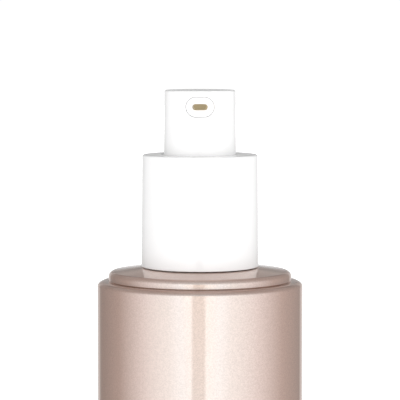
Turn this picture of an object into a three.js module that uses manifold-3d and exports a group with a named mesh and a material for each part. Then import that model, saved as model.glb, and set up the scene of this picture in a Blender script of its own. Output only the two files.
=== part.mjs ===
// Foundation bottle: a coated glass bottle with a screw-on treatment pump.
// Millimetres, +Z up, origin at the centre of the face it stands on, spout towards -Y.
// Heights of the glass are measured from that face. Heights of the pump are measured
// from the lip of the glass neck, so parts that hang inside the bottle are below zero.
import * as THREE from 'three';
import { mergeVertices } from 'three/addons/utils/BufferGeometryUtils.js';
import Module from 'manifold-3d';

const wasm = await Module();
wasm.setup();

// ---------------------------------------------------------------- driving dimensions

const ROUND_SIDES = 36;      // facets around the parts wider than 6 mm
const SMALL_SIDES = 20;      // facets around the thinner ones
const ARC_DIVISIONS = 2;     // each arc of a turned outline has twice as many straight steps
const HOLE_SIDES = 12;       // facets of a drilled hole
const BALL_SIDES = 12;
const BALL_RINGS = 8;
const SPRING_STEPS = 12;     // straight steps in each turn of the spring
const TUBE_STEPS = 14;       // straight steps along the dip tube
const TAU = 2 * Math.PI;

const glass = {
  radius: 18.5,
  heel: 1.5,                 // rounding at the foot of the wall
  restInner: 13,             // inside of the ring it stands on
  pushUp: 0.8,               // hollow of the base inside that ring
  shoulder: 55,
  shoulderRound: [1.35, 0.86],   // across and down, where the wall turns into the shoulder
  stepRadius: 16.5,          // raised step on the shoulder
  stepWall: 0.85,
  stepRound: [0.9, 0.87],
  crownRadius: 10.5,         // the step rises gently to here, under the collar
  crownRise: 2.25,
  floor: 7.5,
  innerRadius: 15.6,
  innerHeel: 2.5,
  innerShoulder: 4,          // rounding of the hollow under the shoulder
  innerTop: 52.9,
  mouthRise: 0.7,            // from the hollow's edge up to the rounding under the bore
  mouthRound: 2,
};

// Screw finish of the neck: 18 mm, one and a half turns, 8 threads to the inch
const neck = {
  height: 13.2,
  radius: 7.85,
  bore: 4.95,
  threadRadius: 8.85,
  pitch: 3.175,
  turns: 1.5,
  threadTop: -1.95,          // middle of the ridge where the thread starts
  rootWidth: 1.5,
  crestWidth: 0.7,
  foot: 0.8,                 // rounding where the neck stands on the shoulder
  lipRound: 0.45,
};

const closure = {
  radius: 9.72,
  bottom: -12.05,
  top: 2.95,
  web: 0.85,                 // thickness of the ring that presses on the flange
  holeRadius: 7,
  edge: 0.3,
  boreRadius: 8.55,          // around the flange
  boreBottom: -0.35,
  boreTaper: 0.5,
  threadRoot: 9.1,
  threadCrest: 8.15,
  rootWidth: 1.3,            // of its thread's ridge
  crestWidth: 0.6,
  threadDrop: 1.25,          // how far its ridge lies below the ridge of the neck
  grooves: 12,
  grooveFloor: 9.42,
  grooveWidth: 1.25,
  grooveBottom: -0.15,
};

const sleeve = {
  bottom: -12.81,
  top: 7.36,
  bottomRadius: 10.56,
  topRadius: 10.38,
  edge: 0.35,
  smallEdge: 0.15,
  innerRadius: 9.88,
  plate: 1.2,
  holeRadius: 6.75,
  beadRadius: 9.55,          // snap bead under the closure's skirt
  bead: [0.3, 0.6, 0.9],     // heights of its lower edge, upper edge and run-out above the foot
  ribWidth: 0.8,
  ribReach: 9.0,             // where a rib sits on the closure
  ribKey: 9.6,               // where it runs down in a groove
};

const gasket = { inner: 4.6, outer: 7.6, bottom: 0.15, top: 0.85 };

const housing = {
  flangeRadius: 8.3,
  flangeBottom: 1.0,
  flangeTop: 1.95,
  outer: 4.45,
  bore: 3.65,
  boreBottom: -10.05,        // the piston runs above this
  taper: 1,                  // height of the cones between the bores
  springOuter: 3.7,
  springBore: 2.95,
  springLedge: -15.55,
  chamberBore: 1.75,         // holds the check ball
  seatBore: 0.75,
  seatBottom: -19.5,
  socketBore: 1.72,          // grips the dip tube
  socketOuter: 2.45,
  socketTop: -20.45,
  bottom: -26.85,
  ventHeight: -3.15,
  ventRadius: 0.4,
  nibs: 4,                   // keep the check ball in its chamber
  nibWidth: 0.6,
  nibHeight: 0.6,
  nibReach: 1,               // distance of their tips from the axis
};

const retainer = {
  plugRadius: 3.55,
  plugBottom: -1.45,
  guideBore: 2.25,
  rimRadius: 5.2,
  rimBottom: 2.1,
  rimTop: 2.85,
  turretRadius: 3.3,
  turretTop: 5.15,
  chamfer: 0.4,
};

const stem = {
  radius: 2.1,
  bore: 1.25,
  bottom: -2.55,
  top: 14.45,
  socket: 1.55,              // radius of the socket that the seat's rod fits
  socketTop: 2.05,
  socketTaper: 0.3,
};

const seat = {
  rodRadius: 1.45,
  rodTop: 1.9,
  bore: 0.75,
  boreBottom: -5.75,
  headRadius: 2.6,
  headTop: -6.05,
  headBottom: -6.95,
  nubRadius: 1.85,           // centres the spring
  nubBottom: -7.85,
  nubChamfer: 0.3,
  portRadius: 0.4,
  portGap: 0.1,              // from the head's upper face to the ports
};

const piston = {
  lipRadius: 3.55,
  waistRadius: 3.35,
  bore: 1.6,
  hubRadius: 2.3,
  hubTop: -3.25,
  hubBottom: -5.95,
  lipTop: -1.75,
  lipBottom: -6.55,
  webTop: -4.05,
  webBottom: -5.05,
  wall: 0.4,                 // of the cups, at the web
  flare: 0.25,               // that the cups open by towards their lips
  lip: 0.5,                  // height of each sealing band
};

const spring = { radius: 2.3, wire: 0.2, bottom: -15.45, top: -7.05, closedPitch: 0.45, activeTurns: 5 };

const ball = { radius: 1.25, height: -18.37 };

const dipTube = {
  radius: 1.6,
  bore: 1.05,
  top: -20.6,
  bendStart: -28.5,
  bendPull: 14,              // length of straight pull at the start of the bend
  toe: [10.6, -61.4],        // where it ends, across and down, by the foot of the wall
  toePull: [4.6, 12],
};

const actuator = {
  bottom: 6.25,
  top: 18.92,
  bottomRadius: 6.52,
  topRadius: 6.32,
  edge: 0.35,
  chamfer: 0.2,              // around its foot
  innerRadius: 5.45,
  roof: 1.25,
  hubRadius: 3.1,
  hubBottom: 9.35,
  hubBore: 2.2,
  hubGap: 0.1,               // over the stem's end
  channelBore: 1.2,
  channelWidth: 2.2,
  channelHeight: 1.5,
  ribWidth: 0.7,
  ribBottom: 10.2,
  bossWall: 0.6,             // around the nozzle's pocket
  bossInset: 0.3,            // from the hub's bore to the boss
};

const nozzle = {
  height: 16.05,             // of its middle
  pocketWidth: 5.1,
  pocketHeight: 3.6,
  gap: 0.1,
  back: 3.4,                 // distance of its inner end from the axis
  faceRadius: 6.28,
  slotWidth: 2.74,
  slotHeight: 1.1,
};

const CLEAR_OF_WALL = 8;     // distance from the axis that is well outside the actuator

// ---------------------------------------------------------------- materials

function finish(color, roughness, metalness) {
  return new THREE.MeshStandardMaterial({ color, roughness, metalness });
}

const pearlCoat = finish(0xcfb3a8, 0.35, 0.45);
const whitePolypropylene = finish(0xf3f2f0, 0.22, 0);
const naturalPolypropylene = finish(0xe6e8e6, 0.4, 0);
const softPolyethylene = finish(0xdfe4e6, 0.5, 0);
const gasketFoam = finish(0xf0efe9, 0.85, 0);
const stainless = finish(0xb9bbbd, 0.3, 1);
const clearGlass = finish(0xd5e2df, 0.05, 0);

// ---------------------------------------------------------------- geometry helpers

// Turns an outline about Z. The outline runs upwards on its outer side, as (radius, height).
function turned(outline, sides) {
  const geometry = new THREE.LatheGeometry(outline.getPoints(ARC_DIVISIONS), sides);
  geometry.rotateX(Math.PI / 2);
  return geometry;
}

// A closed outline with straight sides only.
function ringOutline(points) {
  const outline = new THREE.Path(points.map(([radius, height]) => new THREE.Vector2(radius, height)));
  outline.closePath();
  return outline;
}

// A turned ring with a rectangular section.
function ring(inner, outer, bottom, top, sides) {
  return turned(ringOutline([[inner, bottom], [outer, bottom], [outer, top], [inner, top]]), sides);
}

// An outline with two straight sides and two round ends, centred on the origin.
function obround(width, height) {
  const reach = (width - height) / 2;
  const shape = new THREE.Shape();
  shape.absarc(reach, 0, height / 2, -Math.PI / 2, Math.PI / 2);
  shape.absarc(-reach, 0, height / 2, Math.PI / 2, 1.5 * Math.PI);
  shape.closePath();
  return shape;
}

// A prism that runs along Y from one distance in front of the axis to another.
function forwardPrism(shape, nearAxis, farFromAxis, height) {
  const geometry = new THREE.ExtrudeGeometry(shape, {
    depth: farFromAxis - nearAxis,
    curveSegments: 4,
    bevelEnabled: false,
  });
  geometry.rotateX(Math.PI / 2);
  geometry.translate(0, -nearAxis, height);
  return geometry;
}

// A flat rib in the plane of Z and a radius, turned to an angle about Z.
function radialRib(outline, width, angle) {
  const shape = new THREE.Shape(outline.map(([radius, height]) => new THREE.Vector2(radius, height)));
  const geometry = new THREE.ExtrudeGeometry(shape, { depth: width, bevelEnabled: false });
  geometry.translate(0, 0, -width / 2);
  geometry.rotateX(Math.PI / 2);
  geometry.rotateZ(angle);
  return geometry;
}

// A rectangle as a rib outline.
function rectangle(inner, outer, bottom, top) {
  return [[inner, bottom], [outer, bottom], [outer, top], [inner, top]];
}

// A right-handed helix about Z, drawn in even steps of angle. Its sections stay in the
// plane of Z and the radius.
class Helix extends THREE.Curve {
  constructor(turns, radiusAt, heightAt) {
    super();
    this.turns = turns;
    this.radiusAt = radiusAt;
    this.heightAt = heightAt;
  }

  getPoint(t, target = new THREE.Vector3()) {
    const angle = TAU * this.turns * t;
    const radius = this.radiusAt(t);
    return target.set(radius * Math.cos(angle), radius * Math.sin(angle), this.heightAt(t));
  }

  getPointAt(t, target) {
    return this.getPoint(t, target);
  }

  computeFrenetFrames(steps) {
    const frames = { tangents: [], normals: [], binormals: [] };
    for (let step = 0; step <= steps; step += 1) {
      const angle = TAU * this.turns * step / steps;
      frames.tangents.push(new THREE.Vector3(-Math.sin(angle), Math.cos(angle), 0));
      frames.normals.push(new THREE.Vector3(Math.cos(angle), Math.sin(angle), 0));
      frames.binormals.push(new THREE.Vector3(0, 0, -1));
    }
    return frames;
  }
}

// A section (outwards, downwards) swept along a helix.
function coil(helix, section, stepsPerTurn) {
  return new THREE.ExtrudeGeometry(section, {
    steps: Math.round(helix.turns * stepsPerTurn),
    curveSegments: 3,
    extrudePath: helix,
  });
}

// The section of a screw thread between two radii, seen from the helix's own radius.
function threadSection(helixRadius, rootRadius, rootWidth, crestRadius, crestWidth) {
  const root = rootRadius - helixRadius;
  const crest = crestRadius - helixRadius;
  const corners = [
    new THREE.Vector2(root, rootWidth / 2),
    new THREE.Vector2(root, -rootWidth / 2),
    new THREE.Vector2(crest, -crestWidth / 2),
    new THREE.Vector2(crest, crestWidth / 2),
  ];
  return new THREE.Shape(corners);
}

// A closed mesh as a solid that can be joined and cut.
function solid(geometry) {
  const bare = geometry.clone();
  bare.deleteAttribute('normal');
  bare.deleteAttribute('uv');
  const merged = mergeVertices(bare);
  const corners = merged.index.array;
  const triangles = [];
  for (let i = 0; i < corners.length; i += 3) {
    const triangle = [corners[i], corners[i + 1], corners[i + 2]];
    if (new Set(triangle).size === 3) triangles.push(...triangle);
  }
  return new wasm.Manifold(new wasm.Mesh({
    numProp: 3,
    vertProperties: merged.attributes.position.array,
    triVerts: Uint32Array.from(triangles),
  }));
}

function geometryOf(body) {
  const mesh = body.getMesh();
  const geometry = new THREE.BufferGeometry();
  geometry.setAttribute('position', new THREE.BufferAttribute(mesh.vertProperties, 3));
  geometry.setIndex(new THREE.BufferAttribute(mesh.triVerts, 1));
  geometry.computeVertexNormals();
  return geometry;
}

function joined(geometry, additions) {
  return geometryOf(additions.reduce((body, piece) => body.add(solid(piece)), solid(geometry)));
}

function cut(geometry, tools) {
  return geometryOf(tools.reduce((body, tool) => body.subtract(solid(tool)), solid(geometry)));
}

function aroundAxis(count, make) {
  return Array.from({ length: count }, (_, index) => make(TAU * index / count));
}

// ---------------------------------------------------------------- glass bottle

const neckBase = glass.shoulder + glass.crownRise;
const neckTop = neckBase + neck.height;

function drawOutsideOfGlass(outline) {
  const [shoulderAcross, shoulderDown] = glass.shoulderRound;
  const [stepAcross, stepUp] = glass.stepRound;
  const wall = glass.radius;
  outline.moveTo(0, glass.pushUp);
  outline.lineTo(glass.restInner - 1, glass.pushUp);
  outline.lineTo(glass.restInner, 0);
  outline.absarc(wall - glass.heel, glass.heel, glass.heel, -Math.PI / 2, 0);
  outline.absellipse(wall - shoulderAcross, glass.shoulder - shoulderDown,
    shoulderAcross, shoulderDown, 0, Math.PI / 2);
  outline.lineTo(glass.stepRadius, glass.shoulder);
  outline.absellipse(glass.stepRadius - stepAcross, glass.shoulder + glass.stepWall,
    stepAcross, stepUp, 0, Math.PI / 2);
  outline.lineTo(glass.crownRadius, neckBase);
  outline.absarc(neck.radius + neck.foot, neckBase + neck.foot, neck.foot, -Math.PI / 2, -Math.PI, true);
}

function drawLip(outline) {
  const { lipRound } = neck;
  outline.absarc(neck.radius - lipRound, neckTop - lipRound, lipRound, 0, Math.PI / 2);
  outline.absarc(neck.bore + lipRound, neckTop - lipRound, lipRound, Math.PI / 2, Math.PI);
}

function drawInsideOfGlass(outline) {
  const { innerRadius, innerShoulder, innerHeel, innerTop, floor, mouthRise, mouthRound } = glass;
  const mouthFoot = innerTop + mouthRise;
  outline.absarc(neck.bore + mouthRound, mouthFoot + mouthRound, mouthRound, Math.PI, 1.5 * Math.PI);
  outline.absarc(innerRadius - innerShoulder, innerTop - innerShoulder, innerShoulder,
    Math.PI / 2, 0, true);
  outline.absarc(innerRadius - innerHeel, floor + innerHeel, innerHeel, 0, -Math.PI / 2, true);
  outline.lineTo(0, floor);
}

function neckThread() {
  const rise = neck.pitch * neck.turns;
  const start = neckTop + neck.threadTop - rise;
  const overlap = 0.1;       // the ridge starts this far under the neck's surface
  const rootRadius = neck.radius - overlap;
  const runOut = 1 / 24;     // share of the thread at each end that sinks into the neck
  const sink = neck.threadRadius - rootRadius + overlap;
  const radiusAt = (t) => rootRadius - sink * Math.max(0, 1 - Math.min(t, 1 - t) / runOut);
  const helix = new Helix(neck.turns, radiusAt, (t) => start + rise * t);
  const section = threadSection(rootRadius, rootRadius, neck.rootWidth, neck.threadRadius, neck.crestWidth);
  return coil(helix, section, ROUND_SIDES);
}

function bottleShape() {
  const outline = new THREE.Path();
  drawOutsideOfGlass(outline);
  drawLip(outline);
  drawInsideOfGlass(outline);
  return joined(turned(outline, ROUND_SIDES), [neckThread()]);
}

// ---------------------------------------------------------------- closure and collar

function closureThread() {
  const rise = neck.pitch * neck.turns;
  const start = neck.threadTop - rise - closure.threadDrop;
  const overlap = 0.2;       // the ridge starts this far inside the wall
  const { threadCrest, crestWidth, rootWidth } = closure;
  const rootRadius = closure.threadRoot + overlap;
  const helix = new Helix(neck.turns, () => rootRadius, (t) => start + rise * t);
  const section = threadSection(rootRadius, threadCrest, crestWidth, rootRadius, rootWidth);
  return coil(helix, section, ROUND_SIDES);
}

function closureShape() {
  const { edge, boreBottom, boreTaper } = closure;
  const underWeb = closure.top - closure.web;
  const skirt = ringOutline([
    [closure.threadRoot, closure.bottom],
    [closure.radius, closure.bottom],
    [closure.radius, closure.top - edge],
    [closure.radius - edge, closure.top],
    [closure.holeRadius, closure.top],
    [closure.holeRadius, underWeb],
    [closure.boreRadius, underWeb],
    [closure.boreRadius, boreBottom],
    [closure.threadRoot, boreBottom - boreTaper],
  ]);
  const clear = 1;           // the groove tool runs this far out of the wall
  const grooveOutline = rectangle(closure.grooveFloor, closure.radius + clear,
    closure.grooveBottom, closure.top + clear);
  const grooves = aroundAxis(closure.grooves,
    (angle) => radialRib(grooveOutline, closure.grooveWidth, angle));
  return cut(joined(turned(skirt, ROUND_SIDES), [closureThread()]), grooves);
}

function drawSleeve(outline) {
  const { bottom, top, bottomRadius, topRadius, edge, smallEdge } = sleeve;
  const { innerRadius, plate, holeRadius, beadRadius } = sleeve;
  const [beadBottom, beadTop, beadRunOut] = sleeve.bead;
  outline.moveTo(innerRadius, bottom);
  outline.lineTo(bottomRadius - smallEdge, bottom);
  outline.lineTo(bottomRadius, bottom + smallEdge);
  outline.absarc(topRadius - edge, top - edge, edge, 0, Math.PI / 2);
  outline.lineTo(holeRadius + smallEdge, top);
  outline.lineTo(holeRadius, top - smallEdge);
  outline.lineTo(holeRadius, top - plate);
  outline.lineTo(innerRadius, top - plate);
  outline.lineTo(innerRadius, bottom + beadRunOut);
  outline.lineTo(beadRadius, bottom + beadTop);
  outline.lineTo(beadRadius, bottom + beadBottom);
  outline.closePath();
}

function sleeveShape() {
  const outline = new THREE.Path();
  drawSleeve(outline);
  const gap = 0.15;          // between a rib and the closure
  const overlap = 0.1;       // of a rib with the wall and the plate it stands on
  const wall = sleeve.innerRadius + overlap;
  const underPlate = sleeve.top - sleeve.plate + overlap;
  const ribOutline = [
    [sleeve.ribKey, closure.grooveBottom + 2 * gap],
    [wall, closure.grooveBottom + 2 * gap],
    [wall, underPlate],
    [sleeve.ribReach, underPlate],
    [sleeve.ribReach, closure.top + gap],
    [sleeve.ribKey, closure.top + gap],
  ];
  const ribs = aroundAxis(closure.grooves, (angle) => radialRib(ribOutline, sleeve.ribWidth, angle));
  return joined(turned(outline, ROUND_SIDES), ribs);
}

function gasketShape() {
  return ring(gasket.inner, gasket.outer, gasket.bottom, gasket.top, ROUND_SIDES);
}

// ---------------------------------------------------------------- pump engine

function housingShape() {
  const h = housing;
  const body = ringOutline([
    [h.socketBore, h.bottom],
    [h.socketOuter, h.bottom],
    [h.socketOuter, h.socketTop],
    [h.springOuter, h.seatBottom],
    [h.springOuter, h.boreBottom - h.taper],
    [h.outer, h.boreBottom],
    [h.outer, h.flangeBottom],
    [h.flangeRadius, h.flangeBottom],
    [h.flangeRadius, h.flangeTop],
    [h.bore, h.flangeTop],
    [h.bore, h.boreBottom],
    [h.springBore, h.boreBottom - h.taper],
    [h.springBore, h.springLedge],
    [h.chamberBore, h.springLedge],
    [h.chamberBore, h.seatBottom + h.chamberBore - h.seatBore],
    [h.seatBore, h.seatBottom],
    [h.seatBore, h.socketTop],
    [h.socketBore, h.socketTop],
  ]);
  const overlap = 0.2;       // of a nib with the chamber's wall
  const nibTop = h.springLedge - 0.4;
  const nibOutline = rectangle(h.nibReach, h.chamberBore + overlap, nibTop - h.nibHeight, nibTop);
  const nibs = aroundAxis(h.nibs, (angle) => radialRib(nibOutline, h.nibWidth, angle));
  const vent = new THREE.CylinderGeometry(h.ventRadius, h.ventRadius, 2 * (h.outer - h.bore), HOLE_SIDES);
  vent.rotateZ(Math.PI / 2);
  vent.translate((h.bore + h.outer) / 2, 0, h.ventHeight);
  return cut(joined(turned(body, ROUND_SIDES), nibs), [vent]);
}

function retainerShape() {
  const r = retainer;
  const { chamfer } = r;
  return turned(ringOutline([
    [r.guideBore, r.plugBottom],
    [r.plugRadius - chamfer, r.plugBottom],
    [r.plugRadius, r.plugBottom + chamfer],
    [r.plugRadius, r.rimBottom],
    [r.rimRadius, r.rimBottom],
    [r.rimRadius, r.rimTop],
    [r.turretRadius, r.rimTop],
    [r.turretRadius, r.turretTop - chamfer],
    [r.turretRadius - chamfer, r.turretTop],
    [r.guideBore, r.turretTop],
  ]), SMALL_SIDES);
}

function stemShape() {
  return turned(ringOutline([
    [stem.socket, stem.bottom],
    [stem.radius, stem.bottom],
    [stem.radius, stem.top],
    [stem.bore, stem.top],
    [stem.bore, stem.socketTop + stem.socketTaper],
    [stem.socket, stem.socketTop],
  ]), SMALL_SIDES);
}

function seatShape() {
  const s = seat;
  const outline = new THREE.Path();
  outline.moveTo(0, s.nubBottom);
  outline.lineTo(s.nubRadius - s.nubChamfer, s.nubBottom);
  outline.lineTo(s.nubRadius, s.nubBottom + s.nubChamfer);
  outline.lineTo(s.nubRadius, s.headBottom);
  outline.lineTo(s.headRadius, s.headBottom);
  outline.lineTo(s.headRadius, s.headTop);
  outline.lineTo(s.rodRadius, s.headTop);
  outline.lineTo(s.rodRadius, s.rodTop);
  outline.lineTo(s.bore, s.rodTop);
  outline.lineTo(s.bore, s.boreBottom);
  outline.lineTo(0, s.boreBottom);
  const port = new THREE.CylinderGeometry(s.portRadius, s.portRadius, 4 * s.rodRadius, HOLE_SIDES);
  port.rotateZ(Math.PI / 2);
  port.translate(0, 0, s.headTop + s.portRadius + s.portGap);
  return cut(turned(outline, SMALL_SIDES), [port]);
}

function pistonShape() {
  const p = piston;
  const { lip } = p;
  const inner = p.waistRadius - p.wall;
  return turned(ringOutline([
    [p.bore, p.hubBottom],
    [p.hubRadius, p.hubBottom],
    [p.hubRadius, p.webBottom],
    [inner, p.webBottom],
    [inner + p.flare, p.lipBottom],
    [p.lipRadius, p.lipBottom],
    [p.lipRadius, p.lipBottom + lip],
    [p.waistRadius, p.lipBottom + 2 * lip],
    [p.waistRadius, p.lipTop - 2 * lip],
    [p.lipRadius, p.lipTop - lip],
    [p.lipRadius, p.lipTop],
    [inner + p.flare, p.lipTop],
    [inner, p.webTop],
    [p.hubRadius, p.webTop],
    [p.hubRadius, p.hubTop],
    [p.bore, p.hubTop],
  ]), ROUND_SIDES);
}

// One closed turn at each end and evenly spaced turns between them.
function springShape() {
  const { radius, wire, bottom, top, closedPitch, activeTurns } = spring;
  const turns = activeTurns + 2;
  const low = bottom + wire;
  const high = top - wire;
  const activePitch = (high - low - 2 * closedPitch) / activeTurns;
  const heightAt = (t) => {
    const turn = t * turns;
    const active = Math.min(Math.max(turn - 1, 0), activeTurns);
    return low + closedPitch * (turn - active) + activePitch * active;
  };
  const section = new THREE.Shape();
  section.absarc(0, 0, wire, 0, TAU);
  return coil(new Helix(turns, () => radius, heightAt), section, SPRING_STEPS);
}

function ballShape() {
  return new THREE.SphereGeometry(ball.radius, BALL_SIDES, BALL_RINGS);
}

// Straight out of the housing, then bent to the foot of the wall.
function dipTubeShape() {
  const [toeAcross, toeDown] = dipTube.toe;
  const [pullAcross, pullUp] = dipTube.toePull;
  const bendStart = new THREE.Vector3(0, 0, dipTube.bendStart);
  const route = new THREE.CurvePath();
  route.add(new THREE.LineCurve3(new THREE.Vector3(0, 0, dipTube.top), bendStart));
  route.add(new THREE.CubicBezierCurve3(
    bendStart,
    new THREE.Vector3(0, 0, dipTube.bendStart - dipTube.bendPull),
    new THREE.Vector3(toeAcross - pullAcross, 0, toeDown + pullUp),
    new THREE.Vector3(toeAcross, 0, toeDown),
  ));
  const section = new THREE.Shape();
  section.absarc(0, 0, dipTube.radius, 0, TAU);
  const hole = new THREE.Path();
  hole.absarc(0, 0, dipTube.bore, 0, TAU, true);
  section.holes.push(hole);
  return new THREE.ExtrudeGeometry(section, { steps: TUBE_STEPS, curveSegments: 5, extrudePath: route });
}

// ---------------------------------------------------------------- actuator

function drawActuator(outline) {
  const a = actuator;
  const hubEnd = stem.top + a.hubGap;
  outline.moveTo(0, nozzle.height + a.channelBore);
  outline.lineTo(a.channelBore, nozzle.height + a.channelBore);
  outline.lineTo(a.channelBore, hubEnd);
  outline.lineTo(a.hubBore, hubEnd);
  outline.lineTo(a.hubBore, a.hubBottom);
  outline.lineTo(a.hubRadius, a.hubBottom);
  outline.lineTo(a.hubRadius, a.top - a.roof);
  outline.lineTo(a.innerRadius, a.top - a.roof);
  outline.lineTo(a.innerRadius, a.bottom);
  outline.lineTo(a.bottomRadius - a.chamfer, a.bottom);
  outline.lineTo(a.bottomRadius, a.bottom + a.chamfer);
  outline.absarc(a.topRadius - a.edge, a.top - a.edge, a.edge, 0, Math.PI / 2);
  outline.lineTo(0, a.top);
}

function actuatorShape() {
  const a = actuator;
  const outline = new THREE.Path();
  drawActuator(outline);
  const overlap = 0.2;       // of a rib with the hub, the wall and the roof
  const ribOutline = rectangle(a.hubRadius - overlap, a.innerRadius + overlap,
    a.ribBottom, a.top - a.roof + overlap);
  const ribs = [0, 1, 2].map((quarter) => radialRib(ribOutline, a.ribWidth, quarter * Math.PI / 2));
  const { pocketWidth, pocketHeight, gap, back, height } = nozzle;
  const bossShape = obround(pocketWidth + 2 * a.bossWall, pocketHeight + 2 * a.bossWall);
  const wallMiddle = (a.innerRadius + a.topRadius) / 2;
  const boss = forwardPrism(bossShape, a.hubBore + a.bossInset, wallMiddle, height);
  const pocket = forwardPrism(obround(pocketWidth, pocketHeight), back - gap, CLEAR_OF_WALL, height);
  const channel = forwardPrism(obround(a.channelWidth, a.channelHeight), 0, back, height);
  return cut(joined(turned(outline, ROUND_SIDES), [boss, ...ribs]), [pocket, channel]);
}

// Its face follows the round wall of the actuator. Modelled about its own middle height.
function nozzleShape() {
  const { pocketWidth, pocketHeight, gap, back, faceRadius, slotWidth, slotHeight } = nozzle;
  const plug = forwardPrism(obround(pocketWidth - 2 * gap, pocketHeight - 2 * gap), back, CLEAR_OF_WALL, 0);
  const face = ring(0, faceRadius, -pocketHeight, pocketHeight, ROUND_SIDES);
  const slot = forwardPrism(obround(slotWidth, slotHeight), 0, CLEAR_OF_WALL, 0);
  return cut(geometryOf(solid(plug).intersect(solid(face))), [slot]);
}

// ---------------------------------------------------------------- assembly

function part(name, geometry, material) {
  const mesh = new THREE.Mesh(geometry, material);
  mesh.name = name;
  return mesh;
}

function assembly(height, parts) {
  const group = new THREE.Group();
  group.position.z = height;
  group.add(...parts);
  return group;
}

function placedAt(mesh, height) {
  mesh.position.z = height;
  return mesh;
}

const closureParts = assembly(0, [
  part('screw_closure', closureShape(), whitePolypropylene),
  part('collar_sleeve', sleeveShape(), whitePolypropylene),
]);

const engineParts = assembly(0, [
  part('neck_gasket', gasketShape(), gasketFoam),
  part('pump_housing', housingShape(), naturalPolypropylene),
  part('housing_retainer', retainerShape(), naturalPolypropylene),
  part('piston', pistonShape(), softPolyethylene),
  part('piston_seat', seatShape(), naturalPolypropylene),
  part('return_spring', springShape(), stainless),
  placedAt(part('check_ball', ballShape(), clearGlass), ball.height),
  part('dip_tube', dipTubeShape(), softPolyethylene),
]);

const headParts = assembly(0, [
  part('stem', stemShape(), naturalPolypropylene),
  part('actuator', actuatorShape(), whitePolypropylene),
  placedAt(part('nozzle_insert', nozzleShape(), whitePolypropylene), nozzle.height),
]);

const foundationBottle = assembly(0, [
  part('bottle', bottleShape(), pearlCoat),
  assembly(neckTop, [closureParts, engineParts, headParts]),
]);

export default foundationBottle;
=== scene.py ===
"""Looks of the foundation bottle: pearl-coated glass, a glossy white collar and a treatment pump."""

import math

import bmesh
import bpy
from mathutils import Matrix, Vector


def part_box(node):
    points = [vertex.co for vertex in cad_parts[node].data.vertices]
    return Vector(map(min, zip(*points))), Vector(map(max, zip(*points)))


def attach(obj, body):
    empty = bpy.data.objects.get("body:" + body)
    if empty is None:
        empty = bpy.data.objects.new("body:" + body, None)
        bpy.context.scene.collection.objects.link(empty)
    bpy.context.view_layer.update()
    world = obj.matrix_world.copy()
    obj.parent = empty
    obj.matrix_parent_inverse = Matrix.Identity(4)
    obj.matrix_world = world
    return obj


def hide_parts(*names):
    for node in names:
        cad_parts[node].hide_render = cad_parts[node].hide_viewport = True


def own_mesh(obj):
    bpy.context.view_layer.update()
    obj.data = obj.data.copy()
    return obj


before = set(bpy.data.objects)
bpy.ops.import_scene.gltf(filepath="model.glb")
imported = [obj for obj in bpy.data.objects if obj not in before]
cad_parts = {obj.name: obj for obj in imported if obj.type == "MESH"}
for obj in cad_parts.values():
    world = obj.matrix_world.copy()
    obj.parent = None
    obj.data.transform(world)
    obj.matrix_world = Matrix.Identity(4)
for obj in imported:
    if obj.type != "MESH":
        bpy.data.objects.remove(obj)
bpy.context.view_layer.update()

# ------------------------------------------------------------------ sizes

MM = 0.001
SIDES = 192                    # facets around the wide turned pieces
THIN_SIDES = 96                # and around the thin ones
CORNER_STEPS = 6               # straight steps in each rounded corner
SAME_RADIUS = 1e-6             # two radii closer than this, in metres, are on the same wall
THREAD_PITCH = 3.175           # lengths from here on are in millimetres
THREAD_TURNS = 1.5
THREAD_DROP = 1.95             # from the lip of the glass down to the thread's upper end
THREAD_STEP = 0.12             # between the rows of points on a threaded wall


def top(node):
    """Height of a node's top in millimetres."""
    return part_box(node)[1].z / MM


def foot(node):
    """Height of a node's lowest point in millimetres."""
    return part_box(node)[0].z / MM


def widest(node):
    """Largest radius of a turned node in millimetres."""
    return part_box(node)[1].y / MM


BASE = foot("bottle")
SHOULDER = BASE + 55
LIP = top("bottle")            # the pump's own heights are measured from the glass lip

# ------------------------------------------------------------------ outlines and meshes


def rounded(corners, closed=True):
    """An outline in metres through (radius, height, setback) corners in millimetres.

    Each corner is rounded off by a quarter of an ellipse that starts and ends its setback away.
    A pair of setbacks gives the ellipse unequal halves.
    """
    points = []
    count = len(corners)
    for index, (radius, height, setback) in enumerate(corners):
        corner = Vector((radius, height))
        is_end = not closed and index in (0, count - 1)
        if is_end or not setback:
            points.append(corner * MM)
            continue
        before = Vector(corners[index - 1][:2]) - corner
        after = Vector(corners[(index + 1) % count][:2]) - corner
        first, last = setback if isinstance(setback, tuple) else (setback, setback)
        start = before.normalized() * first
        end = after.normalized() * last
        for step in range(CORNER_STEPS + 1):
            angle = math.pi / 2 * step / CORNER_STEPS
            points.append((corner + start * (1 - math.sin(angle)) + end * (1 - math.cos(angle))) * MM)
    return points


def above_lip(corners):
    """The same corners with their heights counted from the glass lip."""
    return [(radius, height + LIP, setback) for radius, height, setback in corners]


def refined(points, low, high, step):
    """The same outline with extra points on its stretches between two heights in millimetres."""
    result = []
    for point, after in zip(points, points[1:] + points[:1]):
        result.append(point)
        pieces = int(abs(after.y - point.y) / (step * MM))
        overlaps = min(point.y, after.y) < high * MM and max(point.y, after.y) > low * MM
        if overlaps and pieces > 1:
            result += [point.lerp(after, part / pieces) for part in range(1, pieces)]
    return result


def bridge(mesh, lower, upper):
    """Faces between two rows of points. A row of one repeated point is a pole."""
    for index in range(len(lower)):
        after = (index + 1) % len(lower)
        corners = []
        for vertex in (lower[index], lower[after], upper[after], upper[index]):
            if vertex not in corners:
                corners.append(vertex)
        if len(corners) > 2:
            mesh.faces.new(corners)


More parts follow.
